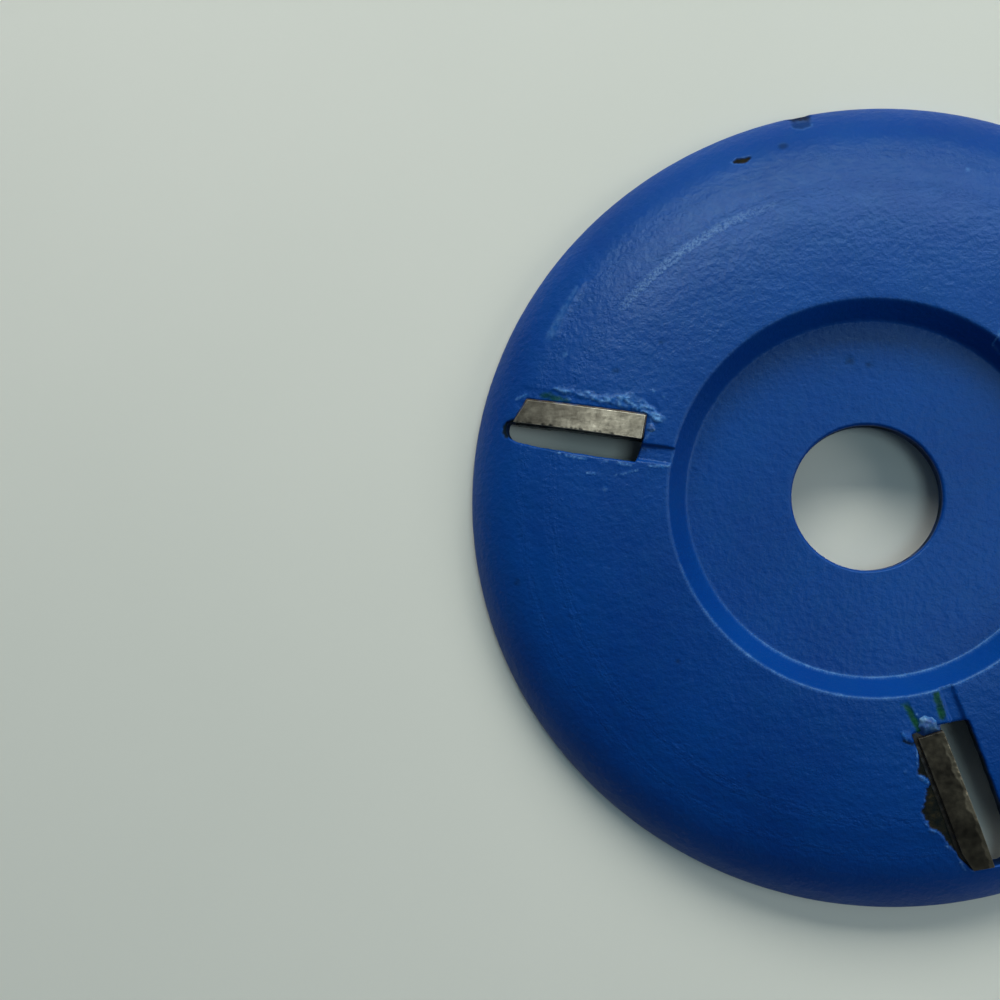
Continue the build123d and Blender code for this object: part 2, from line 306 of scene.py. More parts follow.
LIGHT_2 = [(25.9, -4.95, 26.9, -5.40, 0.09), (26.9, -5.40, 28.4, -5.95, 0.08), (35.15, -7.10, 35.50, -6.60, 0.15), (34.3, -7.25, 34.6, -7.20, 0.07),
           (37.3, -6.05, 37.9, -5.80, 0.06), (39.6, -5.25, 40.5, -5.05, 0.08), (24.55, -6.05, 25.5, -5.98, 0.13), (28.35, -7.35, 28.50, -7.3, 0.12),
           (29.5, -6.0, 30.2, -5.50, 0.24), (22.3, -4.25, 23.3, -3.95, 0.07)]
# pale strokes: flecks of pale paint, and painted highlight lines along the lit lower edges of the run-out groove and of
# the window
LIGHT_1 = [(33.6, 0.62, 31.0, 0.66, 0.11), (27.5, 0.60, 25.8, 0.62, 0.12), (23.67, 0.40, 21.75, 0.16, 0.11), (21.65, 0.1, 21.36, -1.2, 0.12), (30.6, 2.28, 29.7, 2.18, 0.10),
           (27.5, 2.02, 26.2, 1.6, 0.08), (26.2, 1.6, 25.0, 1.08, 0.08), (28.3, 3.59, 28.25, 3.55, 0.16), (24.75, -7.95, 24.6, -7.9, 0.13), (23.5, -7.5, 23.4, -7.45, 0.15),
           (34.1, -5.85, 33.95, -5.82, 0.14), (40.5, -5.15, 39.2, -5.86, 0.13), (34.3, 0.42, 33.9, 0.52, 0.10), (29.0, 0.62, 28.2, 0.66, 0.08)]
# painted shade: dark lines along the shadowed upper wall of the run-out groove and beside the window's edge
SHADE_LINES_1 = [(24.9, -1.92, 23.0, -1.94, 0.11), (23.0, -1.94, 21.4, -1.90, 0.12), (36.9, -0.02, 34.3, 0.32, 0.07)]
RIMCHIP = [(-7.5, 44.2), (-6.47, 44.9), (-5.2, 44.75), (-5.05, 43.6), (-6.1, 43.55), (-7.0, 43.75)]
RIMCHIP2 = [(-7.2, 43.7), (-5.1, 43.7), (-5.13, 42.62), (-6.0, 42.3), (-7.07, 42.56)]
BROWN = [(-14.05, 38.62), (-13.37, 38.98), (-12.5, 39.0), (-11.7, 39.12), (-12.21, 38.42), (-12.99, 38.22), (-13.78, 38.38)]


def seg_mask(u, v, segs, wob):
    m = np.zeros(np.shape(u))
    for a, b, c, d, r in segs:
        m = np.maximum(m, 1 - step(r * 0.55, r * 1.25, line_dist(u, v, [(a, b), (c, d)]) + wob))
    return m


def features(x, y):
    # height change in mm and colour masks at points of the front face
    n = len(x); dz = np.zeros(n)
    M = {k: np.zeros(n) for k in ("light", "burnt", "green", "dark")}
    r = np.hypot(x, y)
    for t in TEETH:
        u, v = to_uv(x, y, t)
        s = (u > 19.5) & (u < 44.5) & (v > -10.5) & (v < 5.0)
        if not s.any(): continue
        U, V = u[s], v[s]; k = t["n"]
        f1, f2, f3 = noise(U, V, 0.55, 31 + k), noise(U, V, 0.28, 41 + k), noise(U, V, 1.4, 51 + k)
        D = np.zeros(len(U)); li, bu, gr, da = (np.zeros(len(U)) for _ in range(4))
        # paint is thicker and lumpy beside the seat
        ds = line_dist(U, V, [(24.8, t["lead"] - t["w"] - 0.2), (39.5, t["lead"] - t["w"] - 0.2)])
        near = 1 - step(0.4, 3.6, ds)
        D += near * (0.030 * f3 + 0.016 * f1 + 0.006 * f2)
        if k in (1, 3):
            P = FLAKE_1 if k == 1 else [(61.0 - a if False else a - 0.6, b + 0.25 * math.sin(a)) for a, b in FLAKE_1]
            e = sd(U, V, P) + 0.26 * f1 + 0.16 * f2 + 0.20 * f3
            band = 1 - step(-0.22, 0.16, e)
            sk = noise(U * 0.42 + 0.3 * V, V * 1.5, 0.50, 61 + k); sk2 = noise(U * 0.5, V * 1.3, 0.26, 64 + k)
            e1 = sd(U, V, [(a, b) for a, b in P])
            D += band * (0.09 + 0.09 * sk + 0.05 * sk2 + 0.03 * f1) * (1.0 if k == 1 else 0.8)
            rag = step(0.0, 0.42, sk + 0.6 * sk2 + 0.10)
            li = np.maximum(li, band * (0.14 + 0.52 * rag))
            # the crest of the torn paint is palest at its inner end
            li = np.maximum(li, band * step(26.5, 23.6, U) * step(0.0, 0.28, sk + 0.7 * f2) * 0.95)
            # between the torn edge and the tip the paint lies lower
            low = (1 - step(0.0, 0.5, ds - 1.0)) * (1 - band)
            D -= 0.05 * low
            g = sd(U, V, GREEN_1 if k == 1 else [(a - 9.0, b) for a, b in GREEN_1]) + 0.22 * f1
            gr = np.maximum(gr, 0.85 * (1 - step(-0.30, 0.20, g)))
            # pale paint flecks and painted highlight lines along lit edges
            segs = LIGHT_1 if k == 1 else [(a - 0.8, b + 0.15, c - 0.8, d + 0.15, q) for a, b, c, d, q in LIGHT_1]
            sm = seg_mask(U, V, segs, 0.07 * f1 + 0.06 * f2)
            li = np.maximum(li, sm * (0.35 + 0.5 * step(-0.1, 0.3, f2 + 0.5 * f1))); D += 0.03 * sm
            # painted shade: the dark lines along the groove's upper wall and beside the window
            dk = seg_mask(U, V, SHADE_LINES_1, 0.03 * f1)
            if k == 1: D -= 0.05 * dk
            da = np.maximum(da, dk * 0.40)
            # a faint swirl of paint round the tip's inner end
            q = np.hypot(U - 26.2, (V + 3.9) * 0.95)
            arc = np.exp(-((q - 1.95 - 0.1 * f3) / 0.16) ** 2) * step(25.6, 24.6, U)
            D += 0.05 * arc; li = np.maximum(li, 0.22 * arc)
            # painted shade: the outer end of the slot, whose wall lies in shadow, darkened and sunk a little
            eb = line_dist(U, V, [(40.55, t["lead"] - 0.1), (41.3, -1.9), (41.3, -1.2), (40.9, -0.7)])
            end_shade = 1 - step(0.16, 0.36, eb + 0.10 * f2)
            da = np.maximum(da, end_shade); D -= 0.12 * end_shade
        if k == 2:
            e = sd(U, V, BURNT_2) + 0.12 * f1 + 0.07 * f2
            b_ = 1 - step(-0.10, 0.05, e)
            bu = np.maximum(bu, b_); D -= b_ * (0.26 + 0.05 * f1 + 0.03 * f2)
            lip = np.exp(-((e - 0.14) / 0.11) ** 2)
            D += 0.012 * lip; li = np.maximum(li, 0.10 * lip * step(0.05, 0.35, f1 + 0.1))
            sm = seg_mask(U, V, LIGHT_2, 0.06 * f1 + 0.05 * f2)
            li = np.maximum(li, sm * (0.22 + 0.45 * step(-0.05, 0.3, f2 + 0.6 * f1))); D += 0.06 * sm; bu *= 1 - 0.9 * sm
            # curl of lifted paint
            q = np.hypot(U - 25.2, V + 5.75)
            D += 0.22 * np.exp(-(q / 0.42) ** 2); dk = np.exp(-(line_dist(U, V, [(25.35, -6.25), (25.95, -5.6), (25.9, -5.2)]) / 0.13) ** 2)
            da = np.maximum(da, dk); D -= 0.08 * dk
            g = np.minimum(line_dist(U, V, [(21.85, -4.60), (25.3, -4.30)]) - 0.34, line_dist(U, V, [(21.65, -1.35), (24.2, -1.62)]) - 0.36) + 0.10 * f1 + 0.05 * f2
            gr = np.maximum(gr, (1 - step(-0.16, 0.14, g)) * step(21.45, 21.75, U))
            D -= 0.03 * (1 - step(-0.1, 0.1, g))
        # cutter run-out, a shallow channel that rises from the slot to the recess
        zs, ze = float(dome_z(25.2)) - 0.42, float(dome_z(CROWN_R + 0.2)) - 0.22
        zp = zs + (25.2 - U) * (ze - zs) / (25.2 - 21.65) + 0.010 * f1
        ww = 1 - step(0.74, 1.02, np.abs(V - t["run"] - (0.22 if k == 2 else 0.0) + 0.05 * f3) + (0.16 if k == 2 else 0.0))
        ww = ww * step(26.3, 25.5, U) * step(19.0, 20.2, U)
        z0 = np.interp(r[s], PR, PZ)
        cut = np.minimum(0.0, zp - z0) * ww
        dz[s] += D * (1 - ww * 0.8) + cut
        for key, val in (("light", li * (1 - 0.7 * ww)), ("burnt", bu), ("green", gr), ("dark", da)):
            M[key][s] = np.maximum(M[key][s], val)
    # chips and knocks elsewhere
    def spot(P, depth, key, amt, soft=0.10, seed=3):
        c = np.mean(np.array(P), 0); s = (np.abs(x - c[0]) < 3) & (np.abs(y - c[1]) < 3)
        if not s.any(): return
        e = sd(x[s], y[s], P) + 0.10 * noise(x[s], y[s], 0.45, seed)
        m = 1 - step(-soft, soft, e); dz[s] -= depth * m
        M[key][s] = np.maximum(M[key][s], amt * m)
        # painted highlight: a pale lip on the lower edge of each chip, the side that faces the light
        ed = np.exp(-((e - 0.10) / 0.09) ** 2); M["light"][s] = np.maximum(M["light"][s], 0.25 * ed * (y[s] < c[1]))
    spot(BROWN, 0.16, "burnt", 1.0, seed=61)
    spot(RIMCHIP, 0.14, "burnt", 0.85, seed=62)
    spot(RIMCHIP2, 0.06, "dark", 0.45, 0.22, seed=63)
    for px, py, pr, dp in [(-8.3, 40.05, 0.42, 0.08), (11.4, 35.9, 0.16, -0.05), (-27.2, 14.5, 0.30, 0.06), (-33.2, 16.6, 0.22, -0.05), (-13.0, -30.0, 0.2, 0.05),
                           (-20.5, -18.0, 0.22, 0.05), (24.5, -30.1, 0.25, 0.06), (-1.5, 15.2, 0.35, 0.07), (0.6, 14.6, 0.25, 0.06), (33.5, 8.0, 0.3, 0.06),
                           (-22.0, 17.5, 0.25, 0.05), (30.2, -12.4, 0.22, 0.05), (8.2, -36.8, 0.26, 0.06), (17.5, 37.6, 0.3, 0.08), (-38.9, -9.4, 0.25, 0.06)]:
        q = np.hypot((x - px) * 0.75, y - py) / pr
        m = np.exp(-q ** 4); dz -= dp * m
        # dents are darkened as painted shade and bumps made pale as painted highlight
        if dp > 0: M["dark"] = np.maximum(M["dark"], 0.5 * m)
        else: M["light"] = np.maximum(M["light"], 0.5 * m)
    # long soft pressing mark beside the rim, with a painted highlight streak along it
    q = line_dist(x, y, [(-34.4, 19.0), (-33.2, 21.6), (-31.2, 25.0)])
    qm = step(0.0, 0.8, 5.2 - np.hypot(x + 33.0, y - 22.0))
    dz += 0.13 * np.exp(-(q / 0.40) ** 2) * qm
    q2 = line_dist(x, y, [(-34.9, 19.2), (-33.7, 21.6), (-31.9, 24.7)])
    M["light"] = np.maximum(M["light"], 0.30 * np.exp(-(q2 / (0.52 - 0.05 * (y - 19))) ** 2) * qm)
    return dz, M


def front_z(x, y):
    r = np.hypot(x, y); th = np.arctan2(y, x)
    z = np.interp(r, PR, PZ)
    onr = step(21.9, 22.6, r)
    # orange peel, waviness and the faint turned rings on the shoulder
    peel = 0.0130 * noise(x, y, 1.35, 1) + 0.0040 * noise(x, y, 0.9, 2)
    wav = 0.035 * noise(x, y, 7.5, 3) + 0.018 * noise(x, y, 3.2, 4)
    arcl = th * 37.0
    band = np.exp(-((r - 38.5) / 0.85) ** 2) + 0.9 * np.exp(-((r - 35.2) / 1.0) ** 2)
    rings = 0.016 * noise(arcl / 5.0, r, 0.50, 5) * band
    line = -0.010 * np.exp(-((r - 37.15 - 0.12 * noise(arcl / 6, r * 0, 1.7, 6)) / 0.16) ** 2) + 0.006 * np.exp(-((r - 34.45) / 0.25) ** 2)
    crumb = 0.012 * noise(x, y, 0.85, 8) * np.exp(-((r - 35.0) / 0.9) ** 2)
    dz, M = features(x, y)
    azd = np.degrees(th) % 360
    M["paint"] = np.clip(np.exp(-((r - 38.4) / 0.9) ** 2) + np.exp(-((r - 34.7) / 1.1) ** 2), 0, 1)
    # painted highlight: a pale speckled band on the shoulder between azimuths 96° and 144°, carried as values above 1
    # in the paint mask
    painted_sparkle = np.exp(-((r - 34.15 - 0.20 * noise(arcl / 4, r * 0, 1.3, 7)) / 0.62) ** 4) * step(96, 122, azd) * step(144.5, 136, azd)
    M["paint"] = np.maximum(M["paint"], (1.0 + 0.38 * painted_sparkle) * step(0.0, 0.35, painted_sparkle))
    # paint thinned pale over the crown's edge and in the corner of the recess all round, plus a painted highlight along
    # both edges on the lower, lit side
    low = step(188, 215, azd) * step(352, 330, azd)
    crown = np.exp(-((r - 21.50) / 0.10) ** 2) * (0.10 + 0.30 * low) * (0.55 + 0.9 * np.clip(noise(arcl / 2.2, r * 0, 1.1, 10) + 0.25, 0, 1))
    corner = np.exp(-((r - 19.57) / 0.10) ** 2) * (0.08 + 0.46 * step(205, 250, azd) * step(350, 330, azd)) * (0.7 + 0.5 * noise(arcl / 2.5, r * 0, 1.3, 11))
    M["light"] = np.maximum(M["light"], np.clip(np.maximum(crown, corner), 0, 0.6))
    return z + onr * (peel + wav * (1 - step(40, 44.5, r)) + rings + line + crumb) + (1 - onr) * (0.7 * peel + 0.003 * noise(x, y, 2.5, 9)) + dz, M


# ------------------------------------------------------------------ materials
def srgb(r, g, b):
    f = lambda c: c / 12.92 if c <= 0.04045 else ((c + 0.055) / 1.055) ** 2.4
    return (f(r / 255), f(g / 255), f(b / 255), 1.0)


class Mat:
    def __init__(s, name):
        s.m = bpy.data.materials.new(name); s.m.use_nodes = True; s.t = s.m.node_tree
        s.b = s.t.nodes["Principled BSDF"]; s.out = s.t.nodes["Material Output"]
        s.co = s.t.nodes.new("ShaderNodeTexCoord").outputs["Object"]
    def link(s, a, b): s.t.links.new(a, b)
    def noise(s, scale, detail=3, rough=0.55, co=None, w=None):
        n = s.t.nodes.new("ShaderNodeTexNoise"); n.inputs["Scale"].default_value = scale
        n.inputs["Detail"].default_value = detail; n.inputs["Roughness"].default_value = rough
        s.link(co or s.co, n.inputs["Vector"]); return n.outputs["Fac"]
    def attr(s, name):
        n = s.t.nodes.new("ShaderNodeAttribute"); n.attribute_name = name; return n.outputs["Fac"]
    def ramp(s, fac, stops):
        n = s.t.nodes.new("ShaderNodeValToRGB"); s.link(fac, n.inputs[0])
        while len(n.color_ramp.elements) < len(stops): n.color_ramp.elements.new(0.5)
        for e, (p, c) in zip(n.color_ramp.elements, stops):
            e.position = p; e.color = c if isinstance(c, tuple) else (c, c, c, 1)
        return n.outputs[0]
    def mix(s, fac, a, b):
        n = s.t.nodes.new("ShaderNodeMix"); n.data_type = "RGBA"
        for val, sock in ((fac, n.inputs[0]), (a, n.inputs[6]), (b, n.inputs[7])):
            if hasattr(val, "is_linked") or hasattr(val, "node"): s.link(val, sock)
            else: sock.default_value = val
        return n.outputs[2]
    def math(s, op, a, b=None, clamp=False):
        n = s.t.nodes.new("ShaderNodeMath"); n.operation = op; n.use_clamp = clamp
        for val, sock in ((a, n.inputs[0]), (b, n.inputs[1])):
            if val is None: continue
            if hasattr(val, "node"): s.link(val, sock)
            else: sock.default_value = val
        return n.outputs[0]
    def scaled(s, v):
        n = s.t.nodes.new("ShaderNodeMapping"); n.inputs["Scale"].default_value = v; s.link(s.co, n.inputs["Vector"]); return n.outputs[0]
    def bump(s, h, dist, strength=1.0, normal=None):
        n = s.t.nodes.new("ShaderNodeBump"); n.inputs["Distance"].default_value = dist; n.inputs["Strength"].default_value = strength
        s.link(h, n.inputs["Height"])
        if normal is not None: s.link(normal, n.inputs["Normal"])
        return n.outputs[0]


def paint_material():
    m = Mat("blue_enamel")
    wide = m.noise(60, 2); mid = m.noise(420, 3); fine = m.noise(2400, 2)
    base = m.ramp(wide, [(0.30, srgb(0, 50, 123)), (0.70, srgb(0, 59, 135))])
    base = m.mix(m.ramp(mid, [(0.42, 0.0), (0.72, 0.35)]), base, srgb(2, 60, 126))
    pale_paint_and_highlight_col = m.ramp(m.noise(1800, 3), [(0.35, srgb(30, 96, 165)), (0.65, srgb(104, 154, 206))])
    # pale paint from the light mask; where that mask marks lit edges, chip lips and the rim streak it is painted
    # highlight
    base = m.mix(m.math("MULTIPLY", m.attr("light"), 1.0, True), base, pale_paint_and_highlight_col)
    base = m.mix(m.attr("green"), base, m.ramp(m.noise(900, 3), [(0.35, srgb(0, 46, 44)), (0.65, srgb(6, 66, 30))]))
    burntcol = m.ramp(m.noise(1500, 4), [(0.32, srgb(12, 9, 4)), (0.58, srgb(34, 27, 10)), (0.75, srgb(58, 46, 22))])
    base = m.mix(m.attr("burnt"), base, burntcol)
    # painted shade: the dark mask blackens the slot and bore walls, the slot ends, shadowed edge lines and dents, as
    # well as dark steel
    base = m.mix(m.attr("dark"), base, srgb(3, 6, 12))
    # painted highlight: a pale speckled band where the paint mask runs above 1
    painted_sparkle = m.math("MULTIPLY", m.math("SUBTRACT", m.attr("paint"), 1.0, True), m.ramp(m.noise(2800, 4, 0.7), [(0.40, 0.0), (0.60, 1.0)]))
    base = m.mix(painted_sparkle, base, srgb(124, 162, 206))
    m.link(base, m.b.inputs["Base Color"])
    rough = m.ramp(m.noise(900, 3), [(0.30, 0.40), (0.70, 0.52)])
    rough = m.mix(m.attr("burnt"), rough, (0.95, 0.95, 0.95, 1))
    rough = m.mix(m.attr("dark"), rough, (0.85, 0.85, 0.85, 1))
    rough = m.mix(m.attr("light"), rough, (0.45, 0.45, 0.45, 1))
    m.link(rough, m.b.inputs["Roughness"])
    m.b.inputs["IOR"].default_value = 1.33
    m.b.inputs["Specular Tint"].default_value = (0.40, 0.80, 1.0, 1.0)
    m.link(m.math("SUBTRACT", m.math("SUBTRACT", 0.12, m.attr("burnt"), True), m.attr("dark"), True), m.b.inputs["Coat Weight"])
    m.b.inputs["Coat Roughness"].default_value = 0.25; m.b.inputs["Coat IOR"].default_value = 1.40
    n1 = m.bump(m.noise(1250, 3, 0.6), 0.000085)
    n2 = m.bump(fine, 0.000028, 1.0, n1)
    # fine turned rings and grit where the mask says so, in radius and angle
    sep = m.t.nodes.new("ShaderNodeSeparateXYZ"); m.link(m.co, sep.inputs[0])
    x, y = sep.outputs[0], sep.outputs[1]
    rad = m.math("SQRT", m.math("ADD", m.math("MULTIPLY", x, x), m.math("MULTIPLY", y, y)))
    ang = m.math("MULTIPLY", m.math("ARCTAN2", y, x), 0.0055)
    comb = m.t.nodes.new("ShaderNodeCombineXYZ"); m.link(rad, comb.inputs[0]); m.link(ang, comb.inputs[1])
    rn = m.noise(1900, 3, 0.6, comb.outputs[0])
    grit = m.math("MINIMUM", m.attr("paint"), 1.0)
    h = m.math("MULTIPLY", m.math("SUBTRACT", m.math("ADD", rn, m.noise(2100, 3, 0.65)), 1.0), grit)
    n3 = m.bump(h, 0.000085, 1.0, n2)
    m.link(n3, m.b.inputs["Normal"]); m.link(n3, m.b.inputs["Coat Normal"])
    return m.m


def carbide_material(name, warm):
    m = Mat(name)
    big = m.noise(520, 4, 0.6); small = m.noise(2600, 4, 0.65); scr = m.noise(900, 3, 0.6, m.scaled((1.0, 7.0, 1.0)))
    if warm:
        base = m.ramp(big, [(0.28, srgb(74, 70, 60)), (0.50, srgb(104, 100, 88)), (0.72, srgb(134, 130, 116))])
        base = m.mix(m.ramp(small, [(0.55, 0.0), (0.75, 0.55)]), base, srgb(62, 58, 48))
        base = m.mix(m.ramp(scr, [(0.52, 0.0), (0.80, 0.4)]), base, srgb(150, 146, 132))
    else:
        base = m.ramp(big, [(0.28, srgb(96, 88, 72)), (0.50, srgb(122, 112, 92)), (0.72, srgb(150, 138, 114))])
        base = m.mix(m.ramp(small, [(0.58, 0.0), (0.80, 0.3)]), base, srgb(84, 76, 60))
        base = m.mix(m.ramp(scr, [(0.52, 0.0), (0.80, 0.2)]), base, srgb(156, 146, 124))
    # painted highlight: the light mask paints the tip's top edges pale; painted shade: the dark mask blackens the side
    # faces
    base = m.mix(m.attr("light"), base, srgb(214, 206, 186))
    base = m.mix(m.attr("burnt"), base, srgb(30, 26, 20))
    base = m.mix(m.attr("dark"), base, srgb(24, 24, 24))
    m.link(base, m.b.inputs["Base Color"])
    m.b.inputs["Metallic"].default_value = 0.8
    m.link(m.ramp(small, [(0.3, 0.36), (0.7, 0.55)]), m.b.inputs["Roughness"])
    n1 = m.bump(big, 0.000010); n2 = m.bump(small, 0.0000035, 1.0, n1)
    m.link(n2, m.b.inputs["Normal"])
    return m.m


def braze_material():
    m = Mat("braze_alloy")
    a = m.noise(700, 4, 0.6); b = m.noise(2300, 3)
    base = m.ramp(a, [(0.30, srgb(70, 52, 30)), (0.52, srgb(140, 108, 60)), (0.75, srgb(196, 160, 96))])
    base = m.mix(m.ramp(b, [(0.50, 0.0), (0.72, 0.8)]), base, srgb(38, 34, 26))
    base = m.mix(m.attr("burnt"), base, m.ramp(a, [(0.35, srgb(12, 11, 9)), (0.7, srgb(34, 29, 20))]))
    blue = m.ramp(a, [(0.35, srgb(10, 56, 122)), (0.65, srgb(22, 76, 140))])
    blue = m.mix(m.attr("light"), blue, m.ramp(b, [(0.35, srgb(48, 104, 160)), (0.65, srgb(112, 154, 190))]))
    base = m.mix(m.attr("paint"), base, blue)
    # painted shade: the dark mask blackens the film under the tip's leading edge; on the seat filling it is a dark
    # joint
    base = m.mix(m.attr("dark"), base, srgb(8, 8, 9))
    m.link(base, m.b.inputs["Base Color"])
    met = m.math("SUBTRACT", 0.75, m.attr("paint"), True); met = m.math("SUBTRACT", met, m.attr("burnt"), True)
    m.link(met, m.b.inputs["Metallic"])
    m.link(m.ramp(b, [(0.3, 0.35), (0.7, 0.55)]), m.b.inputs["Roughness"])
    n1 = m.bump(a, 0.00002); n2 = m.bump(b, 0.000006, 1.0, n1)
    m.link(n2, m.b.inputs["Normal"])
    return m.m


PAINT, BRAZE = paint_material(), braze_material()
CARB = {1: carbide_material("ground_carbide_a", True), 2: carbide_material("ground_carbide_b", False), 3: carbide_material("ground_carbide_c", True)}


# ------------------------------------------------------------------ disc body
def ring(r, n, ph=0.0):
    a = (np.arange(n) + ph) * 2 * math.pi / n
    return np.stack([r * np.cos(a), r * np.sin(a)], 1)


def slot_distance(P):
    d = np.full(len(P), 1e9); ins = np.zeros(len(P), bool)
    for t in TEETH:
        u, v = to_uv(P[:, 0], P[:, 1], t)
        s = (u > 19) & (u < 47) & (np.abs(v + 2.5) < 9)
        if not s.any(): continue
        d[s] = np.minimum(d[s], line_dist(u[s], v[s], t["coarse"], True))
        ins[s] |= inside(u[s], v[s], t["coarse"])
    return d, ins


NR, NB = 540, 300
EDGE_ROWS = [0.006, 0.028, 0.07, 0.13, 0.20, 0.29]
ER = 0.26
h_far, h_near = ((0.44, 0.175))
bore_loop, rim_loop = ring(BORE_R, NB), ring(44.6, NR)
loops = [rim_loop, bore_loop] + [t["loop"] for t in TEETH]
free = [ring(44.42, NR, 0.5), ring(44.2, NR, 0.0), ring(43.95, NR, 0.5), ring(43.65, NR, 0)]
free += [ring(BORE_R + d, NB, 0.5 * (i % 2)) for i, d in enumerate([0.006, 0.03, 0.08, 0.16, 0.26, 0.36, 0.5])]
rr = [19.1, 19.25, 19.38, 19.45, 19.53, 19.61, 19.7, 19.9, 20.2, 20.5, 20.8, 21.05, 21.18, 21.27, 21.36, 21.45, 21.55, 21.68, 21.85, 22.05]
wallrings = [ring(r, 420, 0.5 * (i % 2)) for i, r in enumerate(rr)]
wallpts = np.concatenate(wallrings)
keep = np.ones(len(wallpts), bool)
for t in TEETH:
    u, v = to_uv(wallpts[:, 0], wallpts[:, 1], t)
    keep &= ~((u > 20.3) & (np.abs(v - t["run"]) < 1.45))
free.append(wallpts[keep])
for t in TEETH:
    for c in rows_off(t["loop_uv"], EDGE_ROWS, 0.16):
        X, Y = to_xy(c[:, 0], c[:, 1], t); free.append(np.stack([X, Y], 1))
    g = hexgrid(22.0, -9.6, 43.0, 3.6, h_near, 20 + t["n"])
    d = line_dist(g[:, 0], g[:, 1], t["coarse"], True); ins = inside(g[:, 0], g[:, 1], t["coarse"])
    rg = np.hypot(g[:, 0], g[:, 1])
    g = g[(~ins) & (d > 0.36) & (d < 3.0) & (rg > 22.12) & (rg < 43.4)]
    X, Y = to_xy(g[:, 0], g[:, 1], t); free.append(np.stack([X, Y], 1))
    g = hexgrid(20.3, t["run"] - 1.4, 22.2, t["run"] + 1.4, 0.13, 30 + t["n"])     # where the run-out breaks the crown
    rg = np.hypot(g[:, 0], g[:, 1]); g = g[rg < 22.1]
    X, Y = to_xy(g[:, 0], g[:, 1], t); free.append(np.stack([X, Y], 1))
fine = [(-12.9, 38.7, 1.7), (-6.2, 43.0, 1.9), (-8.3, 40.05, 0.8), (-33.4, 22.0, 3.3)]
g = hexgrid(-45, -45, 45, 45, h_far, 9)
rg = np.hypot(g[:, 0], g[:, 1]); d, ins = slot_distance(g)
k = (~ins) & (d > 3.12) & (rg > 22.3) & (rg < 43.4)
for fx, fy, fr in fine: k &= np.hypot(g[:, 0] - fx, g[:, 1] - fy) > fr + 0.15
free.append(g[k])
for fx, fy, fr in fine:
    q = hexgrid(fx - fr, fy - fr, fx + fr, fy + fr, 0.14 if fr < 3 else 0.24, 77)
    q = q[(np.hypot(q[:, 0] - fx, q[:, 1] - fy) < fr) & (np.hypot(q[:, 0], q[:, 1]) < 43.55)]; free.append(q)
g = hexgrid(-20, -20, 20, 20, 0.5, 10); rg = np.hypot(g[:, 0], g[:, 1])
free.append(g[(rg > 8.75) & (rg < 18.95)])
free = np.concatenate(free)
V, F, idx = cdt(loops, free)
F = orient(V, F)
cen = (V[F[:, 0]] + V[F[:, 1]] + V[F[:, 2]]) / 3
rc = np.hypot(cen[:, 0], cen[:, 1])
ok = (rc > BORE_R * math.cos(math.pi / NB) - 1e-4) & (rc < 44.6)
for t in TEETH:
    u, v = to_uv(cen[:, 0], cen[:, 1], t)
    s = (u > 24) & (u < 42.5) & (v > -6.5) & (v < 2)
    ii = np.zeros(len(cen), bool); ii[s] = inside(u[s], v[s], [tuple(p) for p in t["loop_uv"]])
    ok &= ~ii
F = F[ok]
z, M = front_z(V[:, 0], V[:, 1])


def drop(V, er, which):
    # how far a rounded edge falls below the face near a slot or the bore
    out = np.zeros(len(V))
    r = np.hypot(V[:, 0], V[:, 1]); d = np.clip(r - BORE_R, 0, None)
    e = which["bore"]; m = d < e; out[m] = e - np.sqrt(np.clip(e * e - (e - d[m]) ** 2, 0, None))
    for t in TEETH:
        u, v = to_uv(V[:, 0], V[:, 1], t)
        s = (u > 24) & (u < 42.5) & (v > -6.5) & (v < 2.5)
        dd = line_dist(u[s], v[s], [tuple(p) for p in t["loop_uv"]], True)
        o = np.where(dd < er, er - np.sqrt(np.clip(er * er - (er - dd) ** 2, 0, None)), 0.0)
        out[s] = np.maximum(out[s], o)
    return out


z = z - drop(V, ER, {"bore": 0.34})
B = Build()
b0 = B.verts(np.column_stack([V, z]), **M); B.tris(F + b0)
frim, fbore = idx[0] + b0, idx[1] + b0
fslot = [i + b0 for i in idx[2:]]
zf = z

# back face
ring_back = ring(43.4, NR)
free = [ring(43.25, NR, 0.5), ring(43.0, NR, 0), ring(42.6, NR // 2, 0)]
free += [ring(BORE_R + d, NB, 0.5 * (i % 2)) for i, d in enumerate([0.006, 0.04, 0.12, 0.22, 0.4])]
free += [ring(r, 300, 0.5 * (i % 2)) for i, r in enumerate([21.8, 22.05, 22.2, 22.31, 22.38, 22.42, 22.6, 22.9, 23.2, 23.5, 23.62, 23.72, 23.85, 24.05, 24.3])]
for t in TEETH:
    for c in rows_off(t["loop_uv"], [0.01, 0.05, 0.13, 0.4], 0.22):
        X, Y = to_xy(c[:, 0], c[:, 1], t); k = np.hypot(X, Y) > 24.35; free.append(np.stack([X, Y], 1)[k])
g = hexgrid(-45, -45, 45, 45, 0.95, 12); rg = np.hypot(g[:, 0], g[:, 1]); d, ins = slot_distance(g)
free.append(g[(~ins) & (d > 0.75) & (rg > 24.9) & (rg < 42.2)])
g = hexgrid(-22, -22, 22, 22, 1.1, 13); rg = np.hypot(g[:, 0], g[:, 1]); free.append(g[(rg > 8.9) & (rg < 21.2)])
W, G, idb = cdt([ring_back, bore_loop] + [t["loop"] for t in TEETH], np.concatenate(free))
G = orient(W, G)
cen = (W[G[:, 0]] + W[G[:, 1]] + W[G[:, 2]]) / 3; rc = np.hypot(cen[:, 0], cen[:, 1])
ok = (rc > BORE_R * math.cos(math.pi / NB) - 1e-4) & (rc < 43.4)
